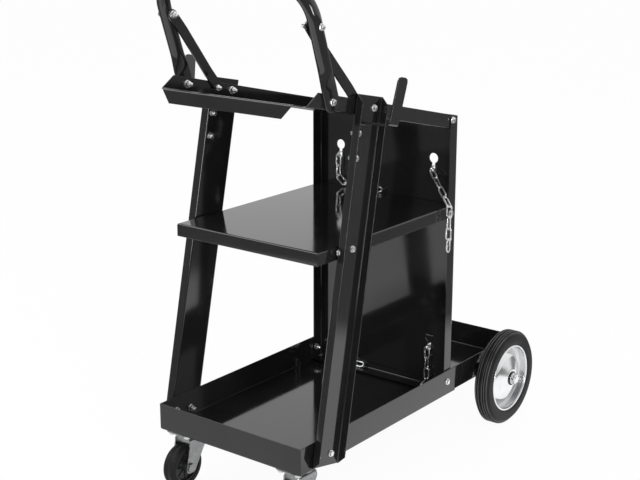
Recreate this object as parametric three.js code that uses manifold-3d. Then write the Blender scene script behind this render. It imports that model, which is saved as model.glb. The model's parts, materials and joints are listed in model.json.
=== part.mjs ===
// Welding cart: folded sheet trays and shelves on two leaning posts, with wheels, casters and chains.
// Millimetres. +X right, +Y to the rear, +Z up. Y is counted from the front tray's front face while
// the pieces are made, and each piece is moved at the end so that the origin is under the middle.
import * as THREE from 'three';
import { mergeVertices } from 'three/addons/utils/BufferGeometryUtils.js';
import Module from 'manifold-3d';

const wasm = await Module();
wasm.setup();

// Sheet steel and clearances
const sheet = 1.5;
const bend = 3;
const seat = 0.1;
const gap = 0.3;
const running = 0.1;
const filletSteps = 2;
const turnSteps = 20;

// Heights that carry the others: the wheels carry the axle, and the axle the trays above it
const wheelRadius = 90;
const axleBelow = 11;
const midTop = 454;
const topHeight = 686;

// Trays
const trayHalf = 152.5;
const trayLength = 454;
const trayBottom = wheelRadius + axleBelow;
const trayWall = 47;
const trayTop = trayBottom + trayWall;
const rearTrayHalf = trayHalf - sheet - seat;
const rearTrayBottom = trayBottom + sheet + seat;
const rearTrayFront = 414;
const rearTrayRear = 671;

// Back panel
const panelHalf = rearTrayHalf - sheet - seat;
const panelRear = 443.5;
const panelFlange = 24;
const panelBottom = rearTrayBottom + sheet + seat;
const panelFront = panelRear - sheet;
const panelFoot = panelBottom + sheet;
const shelfRear = panelRear - bend - gap;
const keyholeInset = 47.3;
const keyholeX = panelHalf - keyholeInset;
const keyholeUpperRise = 77;
const keyholeUpper = midTop + keyholeUpperRise;
const keyholeLowerRise = 96;
const keyholeLower = trayBottom + keyholeLowerRise;
const keyholeRadius = 9;
const slotRadius = 3.3;
const slotDrop = 22;

// Shelves
const shelfHalf = panelHalf - sheet - seat;
const midFront = 50;
const midLip = 22;
const topFront = 10;
const topTilt = THREE.MathUtils.degToRad(12.8);
const topLip = 23;
const topCorner = 15;
const topLipChamfer = 19;
const panelDrop = 74;
const panelTop = topHeight - panelDrop;

// Posts, leaning to the rear and, from the wider tray to the narrower shelf, a little inwards
const postWeb = 70;
const postFlange = 15;
const postSheet = 2;
const postOver = 1.2;
const postChamfer = 12;
const postFootY = 25;
const postFootRise = 5.5;
const postFootZ = trayBottom + postFootRise;
const postLean = THREE.MathUtils.degToRad(11.7);
const postLength = (topHeight - postFootZ) / Math.cos(postLean) + postOver;
const postTouchDrop = 8;
const postTouchHigh = topHeight - postTouchDrop;
const postInward = (trayHalf - shelfHalf) / (postTouchHigh - trayTop);

// Cable hooks on the posts
const hookWidth = 25;
const hookSheet = 3;
const hookAcross = 17.5;
const hookArmDrop = 136;
const hookArmHeight = topHeight - hookArmDrop;
const hookTab = 65;
const hookReach = 60;
const hookRise = 75;
const hookFlare = 8;
const hookBend = 5;
const hookTip = 7;

// Handle and its braces
const tubeRadius = 11;
const tubeWall = 1.5;
const tubeSides = 12;
const footHalfWidth = 17;
const footHalfThick = 2;
const footBoltY = 82;
const footDrop = 4;
const footBoltZ = topHeight - footDrop;
const braceBoltY = 43;
const braceRise = 111.5;
const braceBoltZ = topHeight + braceRise;
const handleRise = 189;
const handleTop = topHeight + handleRise;
const handleBend = 60;
const flatRise = 20;
const roundRise = 58;
const handleX = shelfHalf + seat + footHalfThick;
const braceWidth = 18;
const braceSheet = 3;
const braceLowY = 156;
const braceLowDrop = 18.5;
const braceLowZ = topHeight - braceLowDrop;

// Rear wheels and axle
const wheelY = 596;
const wheelOut = 21.5;
const tyreMiddle = trayHalf + wheelOut;
const tyreHalfWidth = 16;
const tyreShoulder = 8;
const tyreCrown = 7;
const tyreBead = 6;
const rimRadius = 64;
const rimSheet = 2.5;
const rimBossRadius = 17;
const rimDishInner = 47;
const rimDishOuter = 52;
const rimDishDepth = 18;
const rimBoss = 17;
const rimRise = 9;
const rimBend = 5;
const axleRadius = 6;
const axlePast = 28;
const axleHalf = tyreMiddle + axlePast;
const bushRadius = 13.5;
const bushInner = 18;
const bushStart = tyreMiddle - bushInner;
const bushOuter = 18.5;
const bushEnd = tyreMiddle + bushOuter;
const washerRadius = 10.5;
const nutRadius = 9.5;
const nutThick = 6;
const bracketInset = 34.5;
const bracketX = trayHalf - bracketInset;
const bracketHalf = 16;
const bracketSheet = 2.5;
const bracketEar = 34;

// Casters
const casterInset = 32.5;
const casterX = trayHalf - casterInset;
const casterY = 40;
const casterTrail = 22.5;
const casterRadius = 37.5;
const casterTread = 24;
const casterHubRadius = 28;
const casterHubWidth = 28;
const casterSheet = 2.5;
const yokeOuter = 36;
const plateBottom = trayBottom - seat - casterSheet;
const raceHeight = 9.9;
const yokeTop = plateBottom - raceHeight;
const yokeCrown = 21;
const yokeFoot = 11;
const pinRadius = 4;
const kingpinRadius = 6;
const kingpinHead = 9;
const pinHead = 4;
const plateX = 46;
const plateY = 76;
const plateCorner = 6;
const raceFlat = 16;
const raceRadius = 20;
const casterShoulder = 6;
const casterRim = 4;

// Chain
const wireRadius = 1.5;
const linkLength = 26;
const linkWidth = 12.5;
const wireSides = 4;
const linkSteps = 4;
const linkBite = 0.4;
const pitch = linkLength - 4 * wireRadius + linkBite;
const loosePitch = pitch - 2 * linkBite;
const slotReach = 7.5;
const upperSpare = 40;
const lowerSpare = 20;
const drapedLinks = 4;
const drapeOut = 9.5;
const drapeFront = 11;
const drapeRise = 4.5;
const rightUpperEnd = 4;
const leftUpperLying = 5;
const leftLowerLying = 3;
const rightLowerLying = 1;

// Where the middle of the cart is, along Y
const frontEnd = casterY - casterTrail - casterRadius;
const rearEnd = wheelY + wheelRadius;
const middleY = (frontEnd + rearEnd) / 2;

const vec2 = (x, y) => new THREE.Vector2(x, y);
const vec3 = (x, y, z) => new THREE.Vector3(x, y, z);

// Arc that rounds one corner, as points with the direction to the left of travel
function fillet(before, corner, after, radius) {
  const inward = corner.clone().sub(before).normalize();
  const outward = after.clone().sub(corner).normalize();
  const turn = Math.atan2(inward.cross(outward), inward.dot(outward));
  const side = Math.sign(turn);
  const start = corner.clone().addScaledVector(inward, -radius * Math.tan(Math.abs(turn) / 2));
  const left = vec2(-inward.y, inward.x);
  const centre = start.clone().addScaledVector(left, side * radius);
  const arc = [];
  for (let step = 0; step <= filletSteps; step += 1) {
    const angle = (turn * step) / filletSteps;
    const normal = left.clone().rotateAround(vec2(0, 0), angle);
    arc.push({ point: centre.clone().addScaledVector(normal, -side * radius), normal });
  }
  return arc;
}

// Closed outline through corners [x, y] or, where rounded, [x, y, radius]
function outline(corners) {
  const points = corners.map(([x, y]) => vec2(x, y));
  const count = points.length;
  const shape = [];
  corners.forEach(([, , radius], i) => {
    if (!radius) {
      shape.push(points[i]);
      return;
    }
    const arc = fillet(points[(i + count - 1) % count], points[i], points[(i + 1) % count], radius);
    shape.push(...arc.map(({ point }) => point));
  });
  return new THREE.Shape(shape);
}

// Outline of a folded sheet seen on edge, from its mid line
function folded(corners, thickness) {
  const points = corners.map(([x, y]) => vec2(x, y));
  const left = [];
  const right = [];
  const mark = ({ point, normal }) => {
    left.push(point.clone().addScaledVector(normal, thickness / 2));
    right.push(point.clone().addScaledVector(normal, -thickness / 2));
  };
  points.forEach((point, i) => {
    const before = points[i - 1];
    const after = points[i + 1];
    if (before && after) {
      fillet(before, point, after, corners[i][2]).forEach(mark);
      return;
    }
    const along = before ? point.clone().sub(before) : after.clone().sub(point);
    along.normalize();
    mark({ point, normal: vec2(-along.y, along.x) });
  });
  return new THREE.Shape([...left, ...right.reverse()]);
}

const axisFrames = {
  x: new THREE.Matrix4().makeBasis(vec3(0, 1, 0), vec3(0, 0, 1), vec3(1, 0, 0)),
  y: new THREE.Matrix4().makeBasis(vec3(1, 0, 0), vec3(0, 0, 1), vec3(0, -1, 0)),
  z: new THREE.Matrix4(),
};

// Straight solid along one axis; the outline lies in the other two axes, in X, Y, Z order
function prism(axis, shape, from, to) {
  const geometry = new THREE.ExtrudeGeometry(shape, { depth: to - from, bevelEnabled: false });
  geometry.applyMatrix4(axisFrames[axis]);
  const start = axis === 'y' ? to : from;
  const move = vec3(0, 0, 0);
  move[axis] = start;
  return geometry.translate(move.x, move.y, move.z);
}

function merged(geometry) {
  geometry.deleteAttribute('normal');
  geometry.deleteAttribute('uv');
  return mergeVertices(geometry, 1e-4);
}

function facesOut(geometry) {
  const whole = merged(geometry);
  const corners = [vec3(), vec3(), vec3()];
  const index = whole.index.array;
  let volume = 0;
  for (let i = 0; i < index.length; i += 3) {
    corners.forEach((corner, k) => corner.fromBufferAttribute(whole.attributes.position, index[i + k]));
    volume += corners[0].dot(corners[1].cross(corners[2]));
  }
  if (volume < 0) {
    for (let i = 0; i < index.length; i += 3) {
      [index[i], index[i + 1]] = [index[i + 1], index[i]];
    }
  }
  return whole;
}

// Body turned about an axis along X or Z from a closed outline of (radius, place along the axis)
function revolve(axis, shape, steps = turnSteps) {
  const points = shape.getPoints();
  const ring = new THREE.LatheGeometry([...points, points[0]], steps);
  if (axis === 'x') {
    ring.rotateZ(-Math.PI / 2);
  } else {
    ring.rotateX(Math.PI / 2);
  }
  return facesOut(ring);
}

function tubeRing(axis, inner, outer, from, to) {
  return revolve(axis, outline([[inner, from], [outer, from], [outer, to], [inner, to]]));
}

function rod(axis, radius, from, to) {
  const circle = new THREE.Shape().absarc(0, 0, radius, 0, 2 * Math.PI);
  const shape = new THREE.Shape(circle.getSpacedPoints(turnSteps).slice(0, -1));
  return prism(axis, shape, from, to);
}

// Skin over rings of points, closed round each ring and from the last ring to the first
function loft(rings) {
  const count = rings[0].length;
  const geometry = new THREE.BufferGeometry().setFromPoints(rings.flat());
  const index = [];
  rings.forEach((ring, i) => {
    const here = i * count;
    const next = ((i + 1) % rings.length) * count;
    ring.forEach((point, k) => {
      const turn = (k + 1) % count;
      index.push(here + k, here + turn, next + turn, here + k, next + turn, next + k);
    });
  });
  geometry.setIndex(index);
  return facesOut(geometry);
}

function toSolid(geometry) {
  const whole = merged(geometry);
  return new wasm.Manifold(new wasm.Mesh({
    numProp: 3,
    vertProperties: new Float32Array(whole.attributes.position.array),
    triVerts: new Uint32Array(whole.index.array),
  }));
}

function toGeometry(solid) {
  const mesh = solid.getMesh();
  const geometry = new THREE.BufferGeometry();
  geometry.setAttribute('position', new THREE.BufferAttribute(mesh.vertProperties, 3));
  geometry.setIndex(new THREE.BufferAttribute(mesh.triVerts, 1));
  return geometry;
}

function join(first, ...others) {
  return toGeometry(others.reduce((sum, item) => sum.add(toSolid(item)), toSolid(first)));
}

function cut(first, ...others) {
  return toGeometry(others.reduce((rest, item) => rest.subtract(toSolid(item)), toSolid(first)));
}

function common(first, ...others) {
  return toGeometry(others.reduce((rest, item) => rest.intersect(toSolid(item)), toSolid(first)));
}

function mirrored(geometry) {
  return facesOut(geometry.clone().scale(-1, 1, 1));
}

// Tray before it is hollowed: bent along both sides and the closed end
function trayBlock(half, closed, open, floor, lip, radius) {
  const cross = outline([[-half, lip], [-half, floor, radius], [half, floor, radius], [half, lip]]);
  const side = outline([[closed, lip], [closed, floor, radius], [open, floor], [open, lip]]);
  const low = Math.min(closed, open);
  const high = Math.max(closed, open);
  return common(prism('y', cross, low, high), prism('x', side, -half, half));
}

// Folded tray with a floor and lips on three sides, up or down
function foldedTray(half, closed, open, floor, lip) {
  const up = Math.sign(lip - floor) * sheet;
  const back = Math.sign(open - closed) * sheet;
  const outer = trayBlock(half, closed, open, floor, lip, bend);
  const inner = trayBlock(half - sheet, closed + back, open + back, floor + up, lip + up, bend - sheet);
  return cut(outer, inner);
}

function keyhole(x, z) {
  const shape = new THREE.Shape();
  const mouth = Math.asin(slotRadius / keyholeRadius);
  shape.absarc(x, z, keyholeRadius, mouth - Math.PI / 2, 1.5 * Math.PI - mouth);
  shape.absarc(x, z - slotDrop, slotRadius, Math.PI, 2 * Math.PI);
  return prism('y', shape, panelFront - sheet, panelRear + sheet);
}

function backPanel() {
  const side = panelHalf - sheet / 2;
  const back = panelRear - sheet / 2;
  const front = panelRear - panelFlange;
  const low = panelBottom + sheet / 2;
  const radius = bend - sheet / 2;
  const plan = folded([[-side, front], [-side, back, radius], [side, back, radius], [side, front]], sheet);
  const foot = folded([[front, low], [back, low, radius], [back, low + panelFlange]], sheet);
  const footHalf = panelHalf - 2 * bend;
  const body = join(prism('z', plan, panelBottom + bend, panelTop), prism('x', foot, -footHalf, footHalf));
  const holes = [keyholeUpper, keyholeLower].flatMap((z) => [keyhole(-keyholeX, z), keyhole(keyholeX, z)]);
  return cut(body, ...holes);
}

// Upper shelf, made flat and then tilted: side lips up, front lip down, front corners cut off
function topShelf() {
  const side = shelfHalf - sheet / 2;
  const middle = -sheet / 2;
  const radius = bend - sheet / 2;
  const nose = shelfHalf - topCorner;
  const reach = shelfRear - topFront - topLip * Math.sin(topTilt);
  const length = reach / Math.cos(topTilt);
  const cross = folded([
    [-side, topLip], [-side, middle, radius], [side, middle, radius], [side, topLip],
  ], sheet);
  const lipEnds = outline([
    [0, -sheet], [length, -sheet], [length, topLip], [topCorner + topLip, topLip], [topCorner, 0], [0, 0],
  ]);
  const plan = outline([
    [-nose, 0], [nose, 0], [shelfHalf, topCorner], [shelfHalf, length], [-shelfHalf, length],
    [-shelfHalf, topCorner],
  ]);
  const floor = common(
    prism('y', cross, bend, length),
    prism('x', lipEnds, -shelfHalf, shelfHalf),
    prism('z', plan, -sheet, topLip),
  );
  const fold = folded([[2 * topCorner, middle], [sheet / 2, middle, radius], [sheet / 2, -topLip]], sheet);
  const tip = nose - topLipChamfer;
  const face = outline([[-nose, 0], [nose, 0], [tip, -topLip], [-tip, -topLip]]);
  const front = common(prism('x', fold, -nose, nose), prism('y', face, 0, 2 * topCorner));
  return join(floor, front).rotateX(-topTilt).translate(0, topFront, topHeight);
}

// Frame of the right post: x to its rear edge, y along it from the foot, z outwards from its inner face
function postFrame() {
  const along = vec3(-postInward, Math.tan(postLean), 1).normalize();
  const out = vec3(1, 0, postInward).normalize();
  const across = along.clone().cross(out);
  const footX = trayHalf + gap + (trayTop - postFootZ) * postInward;
  return new THREE.Matrix4().makeBasis(across, along, out).setPosition(footX, postFootY, postFootZ);
}

function post() {
  const middle = postSheet / 2;
  const rear = postWeb - middle;
  const cross = folded([
    [middle, postFlange], [middle, middle, bend], [rear, middle, bend], [rear, postFlange],
  ], postSheet);
  const low = postFlange - postChamfer;
  const ends = outline([
    [0, 0], [postLength, 0], [postLength, low], [postLength - postChamfer, postFlange],
    [postChamfer, postFlange], [0, low],
  ]);
  const body = common(prism('y', cross, 0, postLength), prism('x', ends, 0, postWeb));
  return body.applyMatrix4(postFrame());
}

function cableHook() {
  const base = postSheet + seat + hookSheet / 2;
  const tip = base + hookReach;
  const low = hookArmHeight - hookTab;
  const high = hookArmHeight + hookRise;
  const front = hookAcross - hookWidth / 2;
  const rear = hookAcross + hookWidth / 2;
  const side = folded([
    [low, base], [hookArmHeight, base, hookBend], [hookArmHeight, tip, hookBend], [high, tip + hookFlare],
  ], hookSheet);
  const face = outline([
    [front, low, hookBend], [rear, low, hookBend], [rear, high, hookTip], [front, high, hookTip],
  ]);
  const body = common(prism('x', side, front, rear), prism('z', face, 0, tip + hookFlare + hookSheet));
  return body.applyMatrix4(postFrame());
}

// Ring of points round the handle tube: a half-width to the rear and b half-width across the bend
function tubeSection(place, rearward, across, a, b) {
  return Array.from({ length: tubeSides }, (_, k) => {
    const angle = (2 * Math.PI * k) / tubeSides;
    const cosine = Math.cos(angle);
    const flat = Math.abs(cosine) > 1e-6 ? Math.sign(cosine) * (a - b) : 0;
    return place.clone()
      .addScaledVector(rearward, flat + b * cosine)
      .addScaledVector(across, b * Math.sin(angle));
  });
}

// Places along the right half of the handle: x, height h up the leg, turn of the bend, half-widths a and b
function handleStations(top) {
  const stations = [];
  for (const turn of [20, 45, 70, 90]) {
    const angle = THREE.MathUtils.degToRad(turn);
    const h = -footHalfWidth * Math.cos(angle);
    stations.push({ x: handleX, h, turn: 0, a: footHalfWidth * Math.sin(angle), b: footHalfThick });
  }
  const morphSteps = 5;
  for (let step = 0; step <= morphSteps; step += 1) {
    const h = THREE.MathUtils.lerp(flatRise, roundRise, step / morphSteps);
    const round = THREE.MathUtils.smoothstep(step / morphSteps, 0, 1);
    const a = THREE.MathUtils.lerp(footHalfWidth, tubeRadius, round);
    const b = THREE.MathUtils.lerp(footHalfThick, tubeRadius, round);
    stations.push({ x: handleX, h, turn: 0, a, b });
  }
  const bendSteps = 8;
  for (let step = 0; step <= bendSteps; step += 1) {
    const turn = (Math.PI / 2) * (step / bendSteps);
    const x = handleX - handleBend + handleBend * Math.cos(turn);
    const h = top - handleBend + handleBend * Math.sin(turn);
    stations.push({ x, h, turn, a: tubeRadius, b: tubeRadius });
  }
  return stations;
}

function handle() {
  const foot = vec3(0, footBoltY, footBoltZ);
  const up = vec3(0, braceBoltY, braceBoltZ).sub(foot).normalize();
  const right = vec3(1, 0, 0);
  const rearward = up.clone().cross(right);
  const top = (handleTop - tubeRadius - footBoltZ) / up.z;
  const half = handleStations(top);
  const other = half.map((item) => ({ ...item, x: -item.x, turn: Math.PI - item.turn })).reverse();
  const stations = [...half, ...other];
  const ring = ({ x, h, turn, a, b }, wall) => {
    const place = foot.clone().addScaledVector(right, x).addScaledVector(up, h);
    const across = right.clone().multiplyScalar(Math.cos(turn)).addScaledVector(up, Math.sin(turn));
    return tubeSection(place, rearward, across, a - wall, b - wall);
  };
  const outside = stations.map((item) => ring(item, 0));
  const inside = stations.map((item) => ring(item, tubeWall)).reverse();
  return loft([...outside, ...inside]);
}

// Flat bar from the upper shelf's lip up to the inside of the handle's leg, set over in between
function brace() {
  const low = vec3(0, braceLowY, braceLowZ);
  const along = vec3(0, braceBoltY, braceBoltZ).sub(low);
  const length = along.length();
  along.normalize();
  const out = vec3(1, 0, 0);
  const end = braceWidth / 2;
  const lowX = shelfHalf - sheet - seat - braceSheet / 2;
  const highX = handleX - tubeRadius - gap - braceSheet / 2;
  const setOver = 2 * braceWidth;
  const side = folded([
    [-end, lowX], [setOver, lowX, setOver], [length - setOver, highX, setOver], [length + end, highX],
  ], braceSheet);
  const round = end - seat;
  const face = outline([
    [-end, -end, round], [end, -end, round], [end, length + end, round], [-end, length + end, round],
  ]);
  const body = common(prism('x', side, -end, end), prism('z', face, highX - braceSheet, lowX + braceSheet));
  const frame = new THREE.Matrix4().makeBasis(along.clone().cross(out), along, out);
  return body.applyMatrix4(frame.setPosition(low));
}

function atWheel(geometry) {
  return geometry.translate(0, wheelY, wheelRadius);
}

function tyre() {
  const side = tyreHalfWidth;
  const shoulder = wheelRadius - tyreShoulder;
  const tread = side - tyreCrown;
  const bead = rimRadius + tyreBead;
  const half = [
    [rimRadius, side - tyreBead / 2], [bead, side], [shoulder, side, tyreBead], [wheelRadius, tread, bend],
  ];
  const other = half.map(([radius, x, round]) => [radius, -x, round]).reverse();
  return atWheel(revolve('x', outline([...half, ...other])).translate(tyreMiddle, 0, 0));
}

// Dished steel disc pressed into a plain barrel
function rim() {
  const inside = rimRadius - seat;
  const barrelHalf = tyreHalfWidth - tyreBead / 4;
  const barrel = tubeRing('x', inside - rimSheet, inside, -barrelHalf, barrelHalf);
  const dish = rimBoss - rimDishDepth;
  const disc = folded([
    [bushRadius + seat, rimBoss], [rimBossRadius, rimBoss, rimBend], [rimDishInner, dish, rimBend],
    [rimDishOuter, dish, rimBend], [inside - rimSheet / 2, rimRise],
  ], rimSheet);
  return atWheel(join(barrel, revolve('x', disc)).translate(tyreMiddle, 0, 0));
}

function hexagon(radius) {
  return outline(Array.from({ length: 6 }, (_, k) => {
    const angle = (k * Math.PI) / 3;
    return [radius * Math.cos(angle), radius * Math.sin(angle)];
  }));
}

function axleNut() {
  const start = bushEnd + 2 * gap + sheet;
  const body = prism('x', hexagon(nutRadius), start, start + nutThick);
  return atWheel(cut(body, rod('x', axleRadius + running, start - sheet, start + 2 * nutThick)));
}

// Saddle under the rear tray that carries the axle in its fold
function axleBracket() {
  const ear = rearTrayBottom - seat - bracketSheet / 2;
  const wall = axleRadius + 2 * gap + bracketSheet / 2;
  const bottom = wheelRadius - wall;
  const half = [[bracketEar, ear], [wall, ear, bend], [wall, bottom, wall - seat]];
  const other = half.map(([y, z, radius]) => [-y, z, radius]).reverse();
  const shape = folded([...half, ...other], bracketSheet);
  return prism('x', shape, bracketX - bracketHalf, bracketX + bracketHalf).translate(0, wheelY, 0);
}

function atCaster(geometry) {
  return geometry.translate(casterX, casterY, 0);
}

function atCasterWheel(geometry) {
  return geometry.translate(casterX, casterY - casterTrail, casterRadius);
}

function casterPlate() {
  const x = plateX / 2;
  const y = plateY / 2;
  const round = plateCorner;
  const shape = outline([[-x, -y, round], [x, -y, round], [x, y, round], [-x, y, round]]);
  return atCaster(prism('z', shape, plateBottom, plateBottom + casterSheet));
}

function casterRace() {
  const top = plateBottom - seat - casterSheet / 2;
  const low = yokeTop + casterSheet;
  const shape = folded([
    [kingpinRadius + seat, top], [raceFlat, top, casterSheet], [raceRadius, low],
  ], casterSheet);
  return atCaster(revolve('z', shape));
}

function casterKingpin() {
  const headTop = yokeTop - casterSheet - gap;
  const headLow = headTop - casterSheet;
  const shank = rod('z', kingpinRadius, headLow, plateBottom - seat);
  return atCaster(join(shank, rod('z', kingpinHead, headLow, headTop)));
}

function casterYoke() {
  const leg = yokeOuter / 2 - casterSheet / 2;
  const crown = yokeTop - casterSheet / 2;
  const low = casterRadius - yokeFoot;
  const fold = 2 * casterSheet;
  const cross = folded([[-leg, low], [-leg, crown, fold], [leg, crown, fold], [leg, low]], casterSheet);
  const round = 0.7 * yokeFoot;
  const shoulder = yokeTop - yokeFoot;
  const side = outline([
    [-yokeCrown, yokeTop], [-yokeCrown, shoulder, round], [-casterTrail - yokeFoot, low, round],
    [yokeFoot - casterTrail, low, round], [yokeCrown, shoulder, round], [yokeCrown, yokeTop],
  ]);
  const far = casterTrail + yokeFoot;
  const body = common(prism('y', cross, -far, far), prism('x', side, -yokeOuter, yokeOuter));
  const pinHole = rod('x', pinRadius + seat, -yokeOuter, yokeOuter).translate(0, -casterTrail, casterRadius);
  return atCaster(cut(body, pinHole, rod('z', kingpinRadius + running, low, yokeTop + casterSheet)));
}

function casterPin() {
  const face = yokeOuter / 2 + seat;
  const far = face + pinHead;
  const shank = rod('x', pinRadius, -far, far);
  const heads = [-far, face].map((start) => prism('x', hexagon(2 * pinRadius), start, start + pinHead));
  return atCasterWheel(join(shank, ...heads));
}

function casterTyre() {
  const side = casterTread / 2;
  const shape = outline([
    [casterHubRadius, -side], [casterRadius, -side, casterShoulder], [casterRadius, side, casterShoulder],
    [casterHubRadius, side],
  ]);
  return atCasterWheel(revolve('x', shape));
}

function casterHub() {
  const bore = pinRadius + running;
  const outer = casterHubRadius - seat;
  const boss = 2 * pinRadius;
  const end = casterHubWidth / 2;
  const side = casterTread / 2 - sheet;
  const web = side - casterRim;
  const half = [[bore, end], [boss, end], [boss + casterRim, web], [outer - casterRim, web], [outer, side]];
  const other = half.map(([radius, x]) => [radius, -x]).reverse();
  return atCasterWheel(revolve('x', outline([...half, ...other])));
}

// One link between two contact points; its flat side faces along the cross direction
function link(from, to, facing) {
  const along = to.clone().sub(from).normalize();
  const wide = facing.clone().cross(along).normalize();
  const face = along.clone().cross(wide);
  const middle = from.clone().add(to).multiplyScalar(0.5);
  const round = linkWidth / 2 - wireRadius;
  const straight = linkLength / 2 - wireRadius - round;
  const rings = [];
  for (const end of [1, -1]) {
    for (let step = 0; step <= linkSteps; step += 1) {
      const angle = (end * Math.PI) / 2 - (Math.PI * step) / linkSteps;
      const out = wide.clone().multiplyScalar(Math.sin(angle)).addScaledVector(along, Math.cos(angle));
      const centre = middle.clone().addScaledVector(along, end * straight).addScaledVector(out, round);
      rings.push(Array.from({ length: wireSides }, (_, k) => {
        const turn = (2 * Math.PI * k) / wireSides;
        return centre.clone()
          .addScaledVector(out, wireRadius * Math.cos(turn))
          .addScaledVector(face, wireRadius * Math.sin(turn));
      }));
    }
  }
  return loft(rings);
}

// Links along a row of contact points, every second one turned a quarter
function links(points, firstFlat, flatFacing = vec3(0, 1, 0)) {
  return points.slice(1).map((to, k) => {
    const from = points[k];
    const flat = (k % 2 === 0) === firstFlat;
    const facing = flat ? flatFacing : flatFacing.clone().cross(to.clone().sub(from));
    return link(from, to, facing);
  });
}

function straightRun(start, direction, count) {
  const step = direction.clone().normalize().multiplyScalar(pitch);
  return Array.from({ length: count + 1 }, (_, k) => start.clone().addScaledVector(step, k));
}

// Contact points of a slack run that hangs as an arc of a circle between two points at one height
function slackRun(start, end, count) {
  const span = start.x - end.x;
  let low = 0;
  let high = Math.PI;
  for (let step = 0; step < 50; step += 1) {
    const half = (low + high) / 2;
    const reach = (pitch * Math.sin(half)) / Math.sin(half / count);
    [low, high] = reach > span ? [half, high] : [low, half];
  }
  const radius = pitch / (2 * Math.sin(low / count));
  return Array.from({ length: count + 1 }, (_, k) => {
    const angle = low * (1 - (2 * k) / count);
    return vec3(radius * Math.sin(angle), start.y, start.z + radius * (Math.cos(low) - Math.cos(angle)));
  });
}

const linkCore = linkLength / 2 - wireRadius;
const down = vec3(0, 0, -1);
const up = vec3(0, 0, 1);
const toRight = vec3(1, 0, 0);
const toFront = vec3(0, -1, 0);

// Contact points in front of and behind the panel of the link that sits in a keyhole's slot
function slotPoint(x, keyholeZ, side) {
  const height = keyholeZ - slotDrop - slotRadius + gap + linkWidth / 2;
  const reach = side < 0 ? -slotReach : pitch - slotReach;
  return vec3(x, panelRear - sheet / 2 + reach, height);
}

function slotLink(x, keyholeZ) {
  return link(slotPoint(x, keyholeZ, -1), slotPoint(x, keyholeZ, 1), vec3(1, 0, 0));
}

// Part of a chain behind the panel, with the links in its two keyholes
function rearLoop(keyholeZ, spare) {
  const count = Math.ceil((2 * keyholeX + spare) / pitch);
  const loop = slackRun(slotPoint(keyholeX, keyholeZ, 1), slotPoint(-keyholeX, keyholeZ, 1), count);
  return [...links(loop, false), slotLink(keyholeX, keyholeZ), slotLink(-keyholeX, keyholeZ)];
}

// First contact point of a free end that hangs on the last wire of a run
function freeStart(run) {
  const last = run[run.length - 1];
  const along = last.clone().sub(run[run.length - 2]).normalize();
  const wire = last.clone().addScaledVector(along, linkCore - pitch / 2);
  return wire.addScaledVector(down, loosePitch - linkCore - pitch / 2);
}

function freeEnd(run, count, firstFlat) {
  const [first, ...others] = links(straightRun(freeStart(run), down, count), firstFlat);
  return join(first, ...others);
}

const tailRun = (x, keyholeZ) => straightRun(slotPoint(x, keyholeZ, -1), down, 1);

// Free end that hangs down to a floor and lies on it along a direction, its links leaning over
function lyingEnd(x, keyholeZ, floor, direction, count) {
  const start = freeStart(tailRun(x, keyholeZ));
  const leaning = (linkWidth / 2 - wireRadius) * Math.SQRT1_2 + wireRadius;
  const depth = start.z - (floor + gap + leaning);
  const whole = Math.floor(depth / pitch);
  const rest = depth - whole * pitch;
  const hanging = straightRun(start, down, whole);
  const ahead = Math.sqrt(pitch ** 2 - rest ** 2);
  const landed = hanging[whole].clone().addScaledVector(direction, ahead).addScaledVector(down, rest);
  const lying = [hanging[whole], ...straightRun(landed, direction, count - 1)];
  const facing = direction.clone().cross(up).add(up);
  const [first, ...others] = [...links(hanging, false), ...links(lying, true, facing)];
  return join(first, ...others);
}

// The right upper tail crosses the panel and goes round its flange over the middle shelf's edge
function drapedRun() {
  const edge = vec3(shelfHalf + drapeOut, panelRear - panelFlange - drapeFront, midTop + drapeRise);
  const start = slotPoint(keyholeX, keyholeUpper, -1);
  return straightRun(start, edge.sub(start), drapedLinks);
}

function upperChain() {
  const [first, ...others] = rearLoop(keyholeUpper, upperSpare);
  const tails = [...links(drapedRun(), true), ...links(tailRun(-keyholeX, keyholeUpper), true)];
  return join(first, ...others, ...tails);
}

function lowerChain() {
  const [first, ...others] = rearLoop(keyholeLower, lowerSpare);
  const tails = [keyholeX, -keyholeX].flatMap((x) => links(tailRun(x, keyholeLower), true));
  return join(first, ...others, ...tails);
}

const coat = { color: 0x0c0c0e, roughness: 0.15, metalness: 0 };
const zinc = { color: 0xc4c6c8, roughness: 0.3, metalness: 1 };
const rubber = { color: 0x2b2b2d, roughness: 0.8, metalness: 0 };
const plastic = { color: 0x141415, roughness: 0.4, metalness: 0 };

const group = new THREE.Group();

function add(name, geometry, finish) {
  const mesh = new THREE.Mesh(geometry.translate(0, -middleY, 0), new THREE.MeshStandardMaterial(finish));
  mesh.name = name;
  group.add(mesh);
}

function addPair(name, geometry, finish) {
  add(`left_${name}`, mirrored(geometry), finish);
  add(`right_${name}`, geometry, finish);
}

add('front_tray', foldedTray(trayHalf, 0, trayLength, trayBottom, trayTop), coat);
add('rear_tray', foldedTray(rearTrayHalf, rearTrayRear, rearTrayFront, rearTrayBottom, trayTop), coat);
add('back_panel', backPanel(), coat);
add('mid_shelf', foldedTray(shelfHalf, midFront, shelfRear, midTop, midTop - midLip), coat);
add('top_shelf', topShelf(), coat);
addPair('post', post(), coat);
addPair('cable_hook', cableHook(), coat);
add('handle', handle(), coat);
addPair('brace', brace(), coat);

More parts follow.
